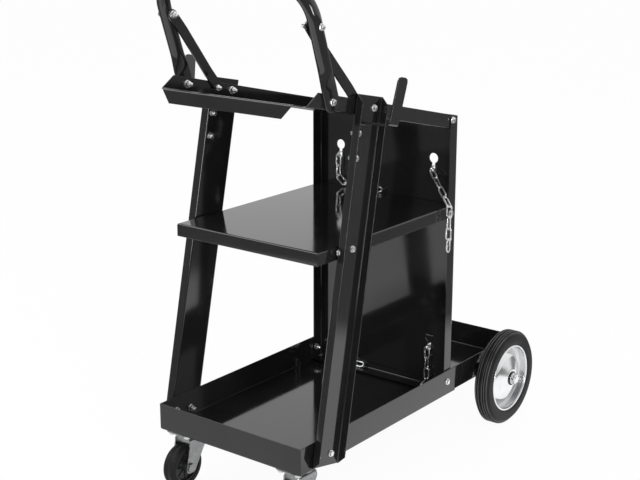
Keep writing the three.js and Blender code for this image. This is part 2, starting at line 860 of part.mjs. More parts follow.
add('axle', atWheel(rod('x', axleRadius, -axleHalf, axleHalf)), zinc);
addPair('axle_bracket', axleBracket(), coat);
addPair('axle_collar', atWheel(tubeRing('x', axleRadius + seat, washerRadius, bushStart - gap - sheet,
  bushStart - gap)), zinc);
addPair('tyre', tyre(), rubber);
addPair('rim', rim(), zinc);
addPair('wheel_bush', atWheel(tubeRing('x', axleRadius + running, bushRadius, bushStart, bushEnd)), plastic);
addPair('axle_washer', atWheel(tubeRing('x', axleRadius + seat, washerRadius, bushEnd + gap,
  bushEnd + gap + sheet)), zinc);
addPair('axle_nut', axleNut(), zinc);

addPair('caster_plate', casterPlate(), zinc);
addPair('caster_race', casterRace(), zinc);
addPair('caster_kingpin', casterKingpin(), zinc);
addPair('caster_yoke', casterYoke(), zinc);
addPair('caster_pin', casterPin(), zinc);
addPair('caster_tyre', casterTyre(), rubber);
addPair('caster_hub', casterHub(), plastic);

add('upper_chain', upperChain(), zinc);
add('lower_chain', lowerChain(), zinc);
add('right_upper_chain_end', freeEnd(drapedRun(), rightUpperEnd, true), zinc);
add('left_upper_chain_end', lyingEnd(-keyholeX, keyholeUpper, midTop, toRight, leftUpperLying), zinc);
add('right_lower_chain_end', lyingEnd(keyholeX, keyholeLower, panelFoot, toFront, rightLowerLying), zinc);
add('left_lower_chain_end', lyingEnd(-keyholeX, keyholeLower, panelFoot, toRight, leftLowerLying), zinc);

export default group;
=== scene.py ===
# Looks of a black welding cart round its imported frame: fasteners, chains, tyres, rims, finishes, studio.
import json
import math

import bmesh
import bpy
from mathutils import Matrix, Vector

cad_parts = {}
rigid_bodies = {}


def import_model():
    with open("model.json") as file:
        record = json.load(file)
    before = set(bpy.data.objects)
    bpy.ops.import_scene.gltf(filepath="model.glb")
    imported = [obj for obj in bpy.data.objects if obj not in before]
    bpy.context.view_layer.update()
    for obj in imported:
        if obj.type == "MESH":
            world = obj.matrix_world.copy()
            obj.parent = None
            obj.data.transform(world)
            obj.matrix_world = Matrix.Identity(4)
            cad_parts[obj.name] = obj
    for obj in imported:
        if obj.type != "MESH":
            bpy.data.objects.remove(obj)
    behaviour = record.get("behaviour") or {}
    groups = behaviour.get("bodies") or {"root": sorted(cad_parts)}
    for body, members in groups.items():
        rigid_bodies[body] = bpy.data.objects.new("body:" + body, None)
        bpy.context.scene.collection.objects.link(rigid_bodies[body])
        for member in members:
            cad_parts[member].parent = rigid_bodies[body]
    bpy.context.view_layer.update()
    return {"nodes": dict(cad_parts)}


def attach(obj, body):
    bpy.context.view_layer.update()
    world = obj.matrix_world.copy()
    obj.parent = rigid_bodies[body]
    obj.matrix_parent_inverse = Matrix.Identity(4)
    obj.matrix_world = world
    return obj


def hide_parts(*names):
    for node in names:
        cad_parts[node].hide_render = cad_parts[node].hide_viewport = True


for default in list(bpy.data.objects):
    bpy.data.objects.remove(default)
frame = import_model()

# Sizes in millimetres, Y counted from the front tray's front face as in the part's source
MM = 0.001
MIDDLE_Y = 333.0

# Sheet and trays
SHEET = 1.5
SEAT = 0.1
GAP = 0.3
TRAY_HALF = 152.5
TRAY_FLOOR = 102.5
TRAY_TOP = 148.0
REAR_FLOOR = TRAY_FLOOR + SEAT + SHEET
PANEL_HALF = TRAY_HALF - 2 * (SHEET + SEAT)
PANEL_REAR = 443.5
PANEL_FLANGE = 24.0
PANEL_FOOT_TOP = REAR_FLOOR + SEAT + SHEET
SHELF_HALF = PANEL_HALF - SHEET - SEAT
MID_TOP = 454.0

# Handle
TUBE = 11.0
FOOT_WIDE = 17.0
FOOT_THICK = 2.0
FOOT_BOLT = (82.0, 682.0)
BRACE_BOLT = (43.0, 797.5)
BRACE_LOW = (152.0, 667.5)
BRACE_SHEET = 3.0
HANDLE_TOP = 875.0
HANDLE_BEND = 60.0
FLAT_RISE = 20.0
ROUND_RISE = 58.0
HANDLE_X = SHELF_HALF + SEAT + FOOT_THICK
TUBE_SIDES = 32
PRESS_STEPS = 10
BEND_STEPS = 16

# Posts
POST_FOOT_Z = 106.5
POST_SHEET = 2.0
POST_TOUCH = 678.0
POST_INWARD = (TRAY_HALF - SHELF_HALF) / (POST_TOUCH - TRAY_TOP)
HOOK_SHEET = 3.0
POST_TRAY_BOLTS = ((39.0, 122.0), (74.5, 116.0))
POST_SHELF_BOLTS = ((98.0, 445.0), (133.0, 443.0), BRACE_LOW, (191.0, 658.5))
POST_HOOK_BOLTS = ((144.0, 626.0), (137.0, 588.0))

# Rear wheels
WHEEL = 90.0
WHEEL_Y = 596.0
TYRE_MIDDLE = 174.0
TYRE_HALF = 16.0
RIM = 64.0
BUSH = 13.5
RIM_SHEET = 2.5
RIM_BOSS = 17.0
RIM_BOSS_RADIUS = 17.0
RIM_DISH_RADIUS = 57.0
RIM_DISH_DEPTH = 21.0
RIM_DOME_RADIUS = 43.0
RIM_DOME_DEPTH = 9.0
BARREL_HALF = 14.5
TREAD_GROOVES = (6.0, 0.0, -6.0)
GROOVE_DEEP = 2.0
GROOVE_TOP = 1.1
GROOVE_FOOT = 0.6
TREAD_LINE_STEP = 4.0
TREAD_LINE_WIDE = 0.7
# Light grey painted along thin lines round the rear tyres' tread as highlights
PAINTED_TREAD_HIGHLIGHT = (0.1, 0.1, 0.104)
BRACKET_SHEET = 2.5
BRACKET_BOLT_Y = 22.0
BRACKET_X = 118.0

# Casters
CASTER_X = 120.0
CASTER_Y = 40.0
CASTER_TRAIL = 22.5
CASTER = 37.5
CASTER_HALF = 12.0
CASTER_HUB = 28.0
PLATE_BOTTOM = 98.4
PLATE_BOLT_X = 17.0
PLATE_BOLT_Y = 28.0
PIN = 4.0
CASTER_BOSS = 8.0
CASTER_HUB_HALF = 14.0
CASTER_WEB = 5.0
CASTER_RIBS = 8

# Chain
KEYHOLE_X = 102.0
KEYHOLE_UPPER = 531.0
KEYHOLE_LOWER = 197.0
SLOT_DROP = 22.0
SLOT_RADIUS = 3.3
WIRE = 1.5
LINK_LENGTH = 26.0
LINK_WIDTH = 12.5
LINK_BITE = 0.4
PITCH = LINK_LENGTH - 4 * WIRE + LINK_BITE
LOOSE_PITCH = PITCH - 2 * LINK_BITE
LINK_CORE = LINK_LENGTH / 2 - WIRE
SLOT_REACH = 7.5
WIRE_SIDES = 10
BOW_STEPS = 8
WELD_STEPS = ((0.36, 1.0), (0.08, 1.2), (0.12, 1.0), (0.08, 1 / 1.2), (0.36, 1.0))
UPPER_SPARE = 40.0
LOWER_SPARE = 20.0
DRAPED_LINKS = 4
DRAPE_OUT = 9.5
DRAPE_FRONT = 11.0
DRAPE_RISE = 4.5
RIGHT_UPPER_END = 4
LEFT_UPPER_LYING = 5
LEFT_LOWER_LYING = 3
RIGHT_LOWER_LYING = 1

# Bolts
HEAD_ACROSS = 8.5
HEAD_HIGH = 3.2
FLANGE_RADIUS = 5.9
FLANGE_HIGH = 1.0
NUT_ACROSS = 10.0
NUT_HIGH = 5.0
WASHER_RADIUS = 6.6
THREAD_RADIUS = 3.0
THREAD_PITCH = 1.0
STUB = 5.0
SHORT_STUB = 0.5
WASHER_HIGH = 1.0
PANEL_TRAY_BOLT = (427.0, 127.0)
PANEL_SHELF_BOLTS = ((426.0, 606.0), (426.0, 441.0))

# Edges, studio and camera, lengths of the last two in metres
EDGE_SOFT = 0.7
SMOOTH_ANGLE = math.radians(46)
FLOOR_HALF = 20.0
FLOOR_GLOW = 0.95
FLOOR_NEAR = 1.15
FLOOR_FAR = 0.25
FLOOR_MIDDLE = (-0.2, -0.35, 0.0)
FLOOR_FADE = (1.18, 1.32)
# Painted shadow in the floor's reflections in front of the cart: its strength, middle and fade
SHADE = 0.4
SHADE_MIDDLE = (0.05, -0.6, 0.0)
SHADE_FADE = (0.57, 0.45)
WORLD_TURN = (-0.25, 0.25)
WORLD_FRONT = 0.3
WORLD_SOFT = 0.7
CAMERA_LENS = 72.69
CAMERA_PLACE = (1.3066, -1.7778, 1.0)
CAMERA_LOOK = Vector((-0.589, 0.7626, -0.2674))

RIGHT = Vector((1, 0, 0))
REAR = Vector((0, 1, 0))
UP = Vector((0, 0, 1))
SIDES = (("left", -1), ("right", 1))


class Term:
    """A socket of a material's node tree that takes part in arithmetic."""

    def __init__(self, tree, socket):
        self.tree = tree
        self.socket = socket

    def node(self, kind, inputs, output=0, **settings):
        made = self.tree.nodes.new(kind)
        for name, value in settings.items():
            setattr(made, name, value)
        for name, value in inputs.items():
            if isinstance(value, Term):
                self.tree.links.new(value.socket, made.inputs[name])
            else:
                made.inputs[name].default_value = value
        return Term(self.tree, made.outputs[output])

    def maths(self, operation, first, second):
        return self.node("ShaderNodeMath", {0: first, 1: second}, operation=operation)

    def __add__(self, other):
        return self.maths("ADD", self, other)

    def __radd__(self, other):
        return self.maths("ADD", other, self)

    def __sub__(self, other):
        return self.maths("SUBTRACT", self, other)

    def __rsub__(self, other):
        return self.maths("SUBTRACT", other, self)

    def __mul__(self, other):
        return self.maths("MULTIPLY", self, other)

    def __rmul__(self, other):
        return self.maths("MULTIPLY", other, self)

    def noise(self, scale, detail=2.0):
        inputs = {"Vector": self, "Scale": scale, "Detail": detail}
        return self.node("ShaderNodeTexNoise", inputs)

    def cells(self, scale):
        colour = self.node("ShaderNodeTexVoronoi", {"Vector": self, "Scale": scale}, "Color")
        return self.node("ShaderNodeSeparateColor", {"Color": colour})

    def ramp(self, low, high):
        inputs = {"Value": self, "From Min": low, "From Max": high}
        return self.node("ShaderNodeMapRange", inputs)

    def tint(self, dark, light):
        inputs = {0: self, 6: (*dark, 1.0), 7: (*light, 1.0)}
        return self.node("ShaderNodeMix", inputs, 2, data_type="RGBA")

    def bump(self, strength, distance):
        inputs = {"Height": self, "Strength": strength, "Distance": distance}
        return self.node("ShaderNodeBump", inputs)


def surface(name):
    """A new material: its shader node and the object coordinates as a term."""
    material = bpy.data.materials.new(name)
    material.use_nodes = True
    tree = material.node_tree
    shader = tree.nodes["Principled BSDF"]
    place = tree.nodes.new("ShaderNodeTexCoord")
    return material, shader, Term(tree, place.outputs["Object"])


def feed(shader, name, term):
    term.tree.links.new(term.socket, shader.inputs[name])


def powder_coat():
    """Glossy black powder coat: a faint orange peel, and patches a little duller than the rest."""
    material, shader, place = surface("powder_coat")
    shader.inputs["IOR"].default_value = 1.6
    patches = place.noise(9.0, 4.0)
    peel = place.noise(420.0, 2.0)
    feed(shader, "Base Color", patches.ramp(0.3, 0.7).tint((0.006, 0.006, 0.0065), (0.01, 0.01, 0.0105)))
    feed(shader, "Roughness", 0.06 + patches.ramp(0.35, 0.7) * 0.05)
    feed(shader, "Normal", peel.bump(0.05, 0.0002))
    return material


def zinc_plate():
    """Bright zinc: small crystal patches, cloudy brightness and fine pits."""
    material, shader, place = surface("zinc_plate")
    shader.inputs["Metallic"].default_value = 1.0
    clouds = place.noise(60.0, 4.0)
    shade = clouds * 0.7 + place.cells(650.0) * 0.3
    feed(shader, "Base Color", shade.ramp(0.25, 0.75).tint((0.78, 0.785, 0.79), (0.93, 0.935, 0.94)))
    feed(shader, "Roughness", 0.18 + clouds.ramp(0.3, 0.7) * 0.16)
    feed(shader, "Normal", place.noise(1500.0, 3.0).bump(0.12, 0.0001))
    return material


def dull_zinc():
    """Greyer zinc of the casters, cloudy and a little rougher."""
    material, shader, place = surface("dull_zinc")
    shader.inputs["Metallic"].default_value = 1.0
    clouds = place.noise(80.0, 4.0)
    shade = clouds * 0.7 + place.cells(500.0) * 0.3
    feed(shader, "Base Color", shade.ramp(0.25, 0.75).tint((0.26, 0.265, 0.27), (0.42, 0.425, 0.43)))
    feed(shader, "Roughness", 0.22 + clouds.ramp(0.3, 0.7) * 0.18)
    feed(shader, "Normal", place.noise(1500.0, 3.0).bump(0.12, 0.0001))
    return material


def pressed_rim():
    """Brighter, smoother zinc of the pressed rims, with broad clouds."""
    material, shader, place = surface("pressed_rim")
    shader.inputs["Metallic"].default_value = 1.0
    clouds = place.noise(25.0, 4.0)
    feed(shader, "Base Color", clouds.ramp(0.3, 0.7).tint((0.66, 0.665, 0.675), (0.86, 0.865, 0.87)))
    feed(shader, "Roughness", 0.1 + clouds.ramp(0.3, 0.7) * 0.1)
    feed(shader, "Normal", place.noise(900.0, 2.0).bump(0.06, 0.0001))
    return material


def painted_tread_highlights(place):
    """One along thin lines round the rear tyres' tread where highlights are painted, nought elsewhere."""
    axle = (0.0, (WHEEL_Y - MIDDLE_Y) * MM, WHEEL * MM)
    spot = place.node("ShaderNodeVectorMath", {0: place, 1: axle}, operation="SUBTRACT")
    turned = spot.node("ShaderNodeVectorMath", {0: spot, 1: (0.0, 1.0, 1.0)}, operation="MULTIPLY")
    radius = turned.node("ShaderNodeVectorMath", {0: turned}, "Value", operation="LENGTH")
    across = spot.node("ShaderNodeSeparateXYZ", {"Vector": spot}, "X")
    out = across.maths("ABSOLUTE", across, 0.0) - (TYRE_MIDDLE - TYRE_HALF) * MM
    away = out.maths("PINGPONG", out, TREAD_LINE_STEP * MM / 2)
    line = away.ramp(TREAD_LINE_WIDE * MM, TREAD_LINE_WIDE * MM / 2)
    inner = radius.ramp((WHEEL - 5) * MM, (WHEEL - 3) * MM)
    outer = radius.ramp((WHEEL + 3) * MM, (WHEEL + 1) * MM)
    return line * (inner * outer)


def tyre_rubber():
    """Black rubber with a fine moulded grain, dusty patches and painted highlight lines round the tread."""
    material, shader, place = surface("tyre_rubber")
    shader.inputs["IOR"].default_value = 1.3
    grain = place.noise(1400.0, 3.0)
    dust = place.noise(28.0, 4.0)
    clean = dust.ramp(0.35, 0.75).tint((0.005, 0.005, 0.0055), (0.013, 0.013, 0.0135))
    # Painted highlights: light grey lines round the tread, broken up by the dust noise
    inputs = {0: painted_tread_highlights(place) * dust.ramp(0.2, 0.5), 6: clean, 7: (*PAINTED_TREAD_HIGHLIGHT, 1.0)}
    feed(shader, "Base Color", place.node("ShaderNodeMix", inputs, 2, data_type="RGBA"))
    feed(shader, "Roughness", 0.42 + grain.ramp(0.3, 0.7) * 0.2)
    feed(shader, "Normal", grain.bump(0.25, 0.0002))
    return material


def caster_plastic():
    """Satin black moulded plastic of the caster wheels."""
    material, shader, place = surface("caster_plastic")
    grain = place.noise(1100.0, 3.0)
    scuffs = place.noise(40.0, 4.0)
    feed(shader, "Base Color", scuffs.ramp(0.4, 0.8).tint((0.006, 0.006, 0.0065), (0.014, 0.014, 0.014)))
    feed(shader, "Roughness", 0.28 + scuffs.ramp(0.3, 0.7) * 0.18)
    feed(shader, "Normal", grain.bump(0.12, 0.0002))
    return material


COAT = powder_coat()
ZINC = zinc_plate()
DULL = dull_zinc()
POLISHED = pressed_rim()
RUBBER = tyre_rubber()
PLASTIC = caster_plastic()


def piece(name, shape, material, body, *stands_for):
    """Turn a shape in millimetres into an object that rides on a body."""
    bmesh.ops.remove_doubles(shape, verts=shape.verts, dist=0.001)
    bmesh.ops.recalc_face_normals(shape, faces=shape.faces)
    mesh = bpy.data.meshes.new(name)
    bmesh.ops.translate(shape, verts=shape.verts, vec=(0, -MIDDLE_Y, 0))
    bmesh.ops.scale(shape, verts=shape.verts, vec=(MM, MM, MM))
    shape.to_mesh(mesh)
    shape.free()
    mesh.shade_smooth()
    mesh.set_sharp_from_angle(angle=SMOOTH_ANGLE)
    mesh.materials.append(material)
    made = bpy.data.objects.new(name, mesh)
    bpy.context.scene.collection.objects.link(made)
    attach(made, body)
    if stands_for:
        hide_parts(*stands_for)
    return made


def spun(shape, outline, origin, axis, steps=48, closed=False):
    """Turn an outline of (radius, height) pairs about an axis."""
    start = Vector(origin)
    across = axis.orthogonal().normalized()
    dots = [shape.verts.new(start + across * radius + axis * height) for radius, height in outline]
    pairs = list(zip(dots, dots[1:]))
    if closed:
        pairs.append((dots[-1], dots[0]))
    edges = [shape.edges.new(pair) for pair in pairs]
    full = 2 * math.pi
    bmesh.ops.spin(shape, geom=dots + edges, cent=start, axis=axis, angle=full, steps=steps, use_merge=True)


def rounded(corners, steps=5):
    """Points of an open outline whose corners (x, y, radius) are rounded off."""
    points = []
    for k, corner in enumerate(corners):
        spot = Vector(corner[:2])
        if len(corner) < 3:
            points.append(tuple(spot))
            continue
        before = (Vector(corners[k - 1][:2]) - spot).normalized()
        after = (Vector(corners[k + 1][:2]) - spot).normalized()
        half = before.angle(after) / 2
        middle = spot + (before + after).normalized() * (corner[2] / math.sin(half))
        start = spot + before * (corner[2] / math.tan(half)) - middle
        turn = math.pi - 2 * half
        if before.cross(after) > 0:
            turn = -turn
        for step in range(steps + 1):
            angle = turn * step / steps
            points.append((
                middle.x + start.x * math.cos(angle) - start.y * math.sin(angle),
                middle.y + start.x * math.sin(angle) + start.y * math.cos(angle),
            ))
    return points


def ring_edges(made):
    """Vertices of newly made geometry, and the edges that join them to each other."""
    dots = [item for item in made if isinstance(item, bmesh.types.BMVert)]
    held = set(dots)
    edges = [item for item in made if isinstance(item, bmesh.types.BMEdge) and held.issuperset(item.verts)]
    return dots, edges


def drawn(shape, ring, move, swell=1.0):
    """Extrude a ring of edges by a vector, and scale the new ring about its middle."""
    dots, edges = ring_edges(bmesh.ops.extrude_edge_only(shape, edges=ring)["geom"])
    bmesh.ops.translate(shape, verts=dots, vec=move)
    middle = sum((dot.co for dot in dots), Vector()) / len(dots)
    bmesh.ops.scale(shape, verts=dots, vec=(swell, swell, swell), space=Matrix.Translation(-middle))
    return edges


def bent(shape, ring, centre, axis, angle, steps):
    """Sweep a ring of edges round an axis and give the ring at the end."""
    dots = list({dot: None for edge in ring for dot in edge.verts})
    made = bmesh.ops.spin(shape, geom=dots + ring, cent=centre, axis=axis, angle=angle, steps=steps)
    return ring_edges(made["geom_last"])[1]


def template(name, make):
    """A mesh made once at the origin, upright, to be stamped in many places."""
    shape = bmesh.new()
    make(shape)
    bmesh.ops.remove_doubles(shape, verts=shape.verts, dist=0.001)
    mesh = bpy.data.meshes.new(name)
    shape.to_mesh(mesh)
    shape.free()
    return mesh


def stamped(shape, mesh, place):
    """Add a copy of a template, moved by a matrix."""
    first = len(shape.verts)
    shape.from_mesh(mesh)
    shape.verts.ensure_lookup_table()
    bmesh.ops.transform(shape, matrix=place, verts=shape.verts[first:])


def upright(origin, axis):
    """Matrix that stands a template at a point with its Z along an axis."""
    return Matrix.Translation(origin) @ axis.to_track_quat("Z", "Y").to_matrix().to_4x4()


def hexagon(shape, across, low, high):
    """Hexagon body with its upper corners taken off."""
    middle = (low + high) / 2
    radius = across / math.sqrt(3)
    place = Matrix.Translation((0, 0, middle))
    made = bmesh.ops.create_cone(
        shape, cap_ends=True, segments=6, radius1=radius, radius2=radius, depth=high - low, matrix=place
    )
    held = {dot for dot in made["verts"] if dot.co.z > middle}
    rim = [edge for edge in shape.edges if held.issuperset(edge.verts)]
    bmesh.ops.bevel(
        shape, geom=rim, offset=across * 0.09, segments=2, profile=0.5, affect="EDGES", material=-1
    )


def flange_head(shape):
    """Hexagon head with a round flange under it."""
    edge = FLANGE_RADIUS
    flange = [(0, 0), (edge - 0.3, 0), (edge, 0.3), (edge - 0.3, FLANGE_HIGH), (0, FLANGE_HIGH + 0.4)]
    spun(shape, flange, (0, 0, 0), UP, 32)
    hexagon(shape, HEAD_ACROSS, FLANGE_HIGH * 0.6, FLANGE_HIGH + HEAD_HIGH)


def washer_nut(shape, stub):
    """Washer, nut and the bolt's threaded end, which stands out of the nut by a stub."""
    edge = WASHER_RADIUS
    high = WASHER_HIGH
    spun(shape, [(0, 0), (edge - 0.2, 0), (edge, 0.2), (edge, high - 0.2), (edge - 0.2, high), (0, high)],
         (0, 0, 0), UP, 32)
    hexagon(shape, NUT_ACROSS, high * 0.9, high + NUT_HIGH)
    start = high + NUT_HIGH * 0.8
    thread = [(0, start)]
    while start < high + NUT_HIGH + stub:
        thread.append((THREAD_RADIUS * 0.86, start))
        thread.append((THREAD_RADIUS, start + THREAD_PITCH / 2))
        start += THREAD_PITCH
    thread += [(THREAD_RADIUS * 0.8, start), (0, start)]
    spun(shape, thread, (0, 0, 0), UP, 20)


HEAD = template("flange_head", flange_head)
NUT = template("washer_nut", lambda shape: washer_nut(shape, STUB))
SHORT_NUT = template("short_nut", lambda shape: washer_nut(shape, SHORT_STUB))


def bolted(shape, side, y, z, outer, inner, nut=NUT):
    """A bolt across the cart's side, its head outside and its nut inside."""
    stamped(shape, HEAD, upright((side * outer, y, z), RIGHT * side))
    stamped(shape, nut, upright((side * inner, y, z), RIGHT * -side))


def post_face(height):
    """Distance from the middle to a post's outer face at a height."""
    foot = TRAY_HALF + GAP + (TRAY_TOP - POST_FOOT_Z) * POST_INWARD
    return foot - (height - POST_FOOT_Z) * POST_INWARD + POST_SHEET


def post_bolts(side_name, side):
    """Bolts that hold the post to the tray, the shelves, the brace's lower end and the cable hook."""
    shape = bmesh.new()
    for y, z in POST_TRAY_BOLTS:
        bolted(shape, side, y, z, post_face(z), TRAY_HALF - SHEET)
    for y, z in POST_SHELF_BOLTS:
        bolted(shape, side, y, z, post_face(z), SHELF_HALF - SHEET)
    for y, z in POST_HOOK_BOLTS:
        bolted(shape, side, y, z, post_face(z) + HOOK_SHEET + SEAT, post_face(z) - POST_SHEET, SHORT_NUT)
    piece(f"{side_name}_post_bolts", shape, ZINC, "frame")


def panel_bolts(side_name, side):
    """Bolts that hold the back panel's flanges to the tray and the shelves."""
    shape = bmesh.new()
    bolted(shape, side, *PANEL_TRAY_BOLT, TRAY_HALF, PANEL_HALF - SHEET)
    for y, z in PANEL_SHELF_BOLTS:
        bolted(shape, side, y, z, PANEL_HALF, SHELF_HALF - SHEET)
    piece(f"{side_name}_panel_bolts", shape, ZINC, "frame")


def handle_bolts(side_name, side):
    """Bolts through the handle's foot, and through its leg and the brace's upper end."""
    shape = bmesh.new()
    bolted(shape, side, *FOOT_BOLT, HANDLE_X + FOOT_THICK, SHELF_HALF - SHEET)
    leg_inside = HANDLE_X - TUBE - SEAT - BRACE_SHEET
    bolted(shape, side, *BRACE_BOLT, HANDLE_X + TUBE - 0.3, leg_inside)
    piece(f"{side_name}_handle_bolts", shape, ZINC, "frame")


def floor_bolts(side_name, side):
    """Bolts through the tray floors that hold the caster plate and the axle bracket."""
    shape = bmesh.new()
    for x in (-PLATE_BOLT_X, PLATE_BOLT_X):
        for y in (-PLATE_BOLT_Y, PLATE_BOLT_Y):
            spot = Vector((side * CASTER_X + x, CASTER_Y + y, TRAY_FLOOR))
            stamped(shape, HEAD, upright(spot, UP))
            stamped(shape, SHORT_NUT, upright(spot + UP * (PLATE_BOTTOM - TRAY_FLOOR), -UP))
    for y in (-BRACKET_BOLT_Y, BRACKET_BOLT_Y):
        spot = Vector((side * BRACKET_X, WHEEL_Y + y, REAR_FLOOR))
        stamped(shape, HEAD, upright(spot, UP))
        stamped(shape, SHORT_NUT, upright(spot - UP * (SHEET + SEAT + BRACKET_SHEET), -UP))
    piece(f"{side_name}_floor_bolts", shape, ZINC, "frame")


def link_shape(shape):
    """One welded link, upright, its flat side facing along Y."""
    bow = LINK_WIDTH / 2 - WIRE
    straight = LINK_LENGTH - 2 * WIRE - 2 * bow
    corner = Vector((bow, 0, -straight / 2))
    bmesh.ops.create_circle(shape, segments=WIRE_SIDES, radius=WIRE, matrix=Matrix.Translation(corner))
    ring = shape.edges[:]
    for share, swell in WELD_STEPS:
        ring = drawn(shape, ring, UP * straight * share, swell)
    ring = bent(shape, ring, UP * straight / 2, REAR, -math.pi, BOW_STEPS)
    ring = drawn(shape, ring, -UP * straight)
    bent(shape, ring, -UP * straight / 2, REAR, -math.pi, BOW_STEPS)


LINK = template("chain_link", link_shape)


def hung(shape, start, end, facing):
    """One link between two contact points, its flat side towards a direction."""
    along = (end - start).normalized()
    wide = facing.cross(along).normalized()
    turn = Matrix((wide, along.cross(wide), along)).transposed().to_4x4()
    stamped(shape, LINK, Matrix.Translation((start + end) / 2) @ turn)


def chained(shape, points, first_flat, facing=REAR):
    """Links along a row of contact points, every second one turned a quarter."""
    for k, (start, end) in enumerate(zip(points, points[1:])):
        flat = (k % 2 == 0) == first_flat
        hung(shape, start, end, facing if flat else facing.cross(end - start))


def straight_run(start, direction, count):
    return [start + direction.normalized() * PITCH * k for k in range(count + 1)]


def slot_point(x, keyhole, side):
    """Contact point of the link in a keyhole's slot, in front of the panel or behind it."""
    height = keyhole - SLOT_DROP - SLOT_RADIUS + GAP + LINK_WIDTH / 2
    reach = -SLOT_REACH if side < 0 else PITCH - SLOT_REACH
    return Vector((x, PANEL_REAR - SHEET / 2 + reach, height))


def slack_run(keyhole, spare):
    """Contact points behind the panel, on an arc whose chords are one pitch long."""
    start = slot_point(KEYHOLE_X, keyhole, 1)
    count = math.ceil((2 * KEYHOLE_X + spare) / PITCH)
    low, high = 0.0, math.pi
    for step in range(50):
        half = (low + high) / 2
        reach = PITCH * math.sin(half) / math.sin(half / count)
        low, high = (half, high) if reach > 2 * KEYHOLE_X else (low, half)
    radius = PITCH / (2 * math.sin(low / count))
    points = []
    for k in range(count + 1):
        angle = low * (1 - 2 * k / count)
        drop = radius * (math.cos(angle) - math.cos(low))
        points.append(Vector((radius * math.sin(angle), start.y, start.z - drop)))
    return points


def rear_loop(shape, keyhole, spare):
    """Chain behind the panel and the links that sit in its two keyholes."""
    chained(shape, slack_run(keyhole, spare), False)
    for x in (KEYHOLE_X, -KEYHOLE_X):
        hung(shape, slot_point(x, keyhole, -1), slot_point(x, keyhole, 1), RIGHT)


def tail_run(x, keyhole):
    return straight_run(slot_point(x, keyhole, -1), -UP, 1)


def draped_run():
    """From the right upper keyhole round the panel's flange and over the middle shelf's edge."""
    start = slot_point(KEYHOLE_X, KEYHOLE_UPPER, -1)
    front = PANEL_REAR - PANEL_FLANGE - DRAPE_FRONT
    edge = Vector((SHELF_HALF + DRAPE_OUT, front, MID_TOP + DRAPE_RISE))
    return straight_run(start, edge - start, DRAPED_LINKS)


def free_start(run):
    """First contact point of a free end that hangs on the last wire of a run."""
    along = (run[-1] - run[-2]).normalized()
    wire = run[-1] + along * (LINK_CORE - PITCH / 2)
    return wire - UP * (LOOSE_PITCH - LINK_CORE - PITCH / 2)


def free_end(name, shape):
    piece(f"{name}_chain_links", shape, ZINC, f"{name}_tail", f"{name}_chain_end")


def draped_end():
    """Free end of the right upper tail, hanging down outside the middle shelf."""
    shape = bmesh.new()
    chained(shape, straight_run(free_start(draped_run()), -UP, RIGHT_UPPER_END), True)
    free_end("right_upper", shape)


def lying_end(name, run, floor, direction, count):
    """Free end that hangs down to a floor and lies on it along a direction, its links leaning over."""
    start = free_start(run)
    leaning = (LINK_WIDTH / 2 - WIRE) * math.sqrt(0.5) + WIRE
    depth = start.z - (floor + GAP + leaning)
    whole = math.floor(depth / PITCH)
    rest = depth - whole * PITCH
    hanging = straight_run(start, -UP, whole)
    landed = hanging[-1] + direction * math.sqrt(PITCH ** 2 - rest ** 2) - UP * rest
    shape = bmesh.new()
    chained(shape, hanging, False)
    lying = hanging[-1:] + straight_run(landed, direction, count - 1)
    chained(shape, lying, True, direction.cross(UP) + UP)
    free_end(name, shape)


def chains():
    """Both chains with their four free ends."""
    left_upper = tail_run(-KEYHOLE_X, KEYHOLE_UPPER)
    left_lower = tail_run(-KEYHOLE_X, KEYHOLE_LOWER)
    right_lower = tail_run(KEYHOLE_X, KEYHOLE_LOWER)
    upper = bmesh.new()
    rear_loop(upper, KEYHOLE_UPPER, UPPER_SPARE)
    chained(upper, draped_run(), True)
    chained(upper, left_upper, True)
    piece("upper_chain_links", upper, ZINC, "frame", "upper_chain")
    lower = bmesh.new()
    rear_loop(lower, KEYHOLE_LOWER, LOWER_SPARE)
    chained(lower, left_lower, True)
    chained(lower, right_lower, True)
    piece("lower_chain_links", lower, ZINC, "frame", "lower_chain")
    draped_end()
    lying_end("left_upper", left_upper, MID_TOP, RIGHT, LEFT_UPPER_LYING)
    lying_end("left_lower", left_lower, PANEL_FOOT_TOP, RIGHT, LEFT_LOWER_LYING)
    lying_end("right_lower", right_lower, PANEL_FOOT_TOP, -REAR, RIGHT_LOWER_LYING)


def tyre(side_name, side):
    """Solid tyre: rounded shoulders and three grooves round the tread."""
    wall = [
        (RIM, TYRE_HALF - 3), (RIM + 2, TYRE_HALF - 0.8, 1), (RIM + 7, TYRE_HALF, 2),
        (WHEEL - 8, TYRE_HALF, 4), (WHEEL, TYRE_HALF - 7, 2.5),
    ]
    tread = []
    for groove in TREAD_GROOVES:
        deep = WHEEL - GROOVE_DEEP
        tread += [(WHEEL, groove + GROOVE_TOP), (deep, groove + GROOVE_FOOT)]
        tread += [(deep, groove - GROOVE_FOOT), (WHEEL, groove - GROOVE_TOP)]
    other = [(corner[0], -corner[1], *corner[2:]) for corner in reversed(wall)]
    shape = bmesh.new()
    spun(shape, rounded(wall + tread + other), (side * TYRE_MIDDLE, WHEEL_Y, WHEEL), RIGHT * side, 96, True)
    piece(f"{side_name}_tyre_rubber", shape, RUBBER, f"{side_name}_wheel", f"{side_name}_tyre")


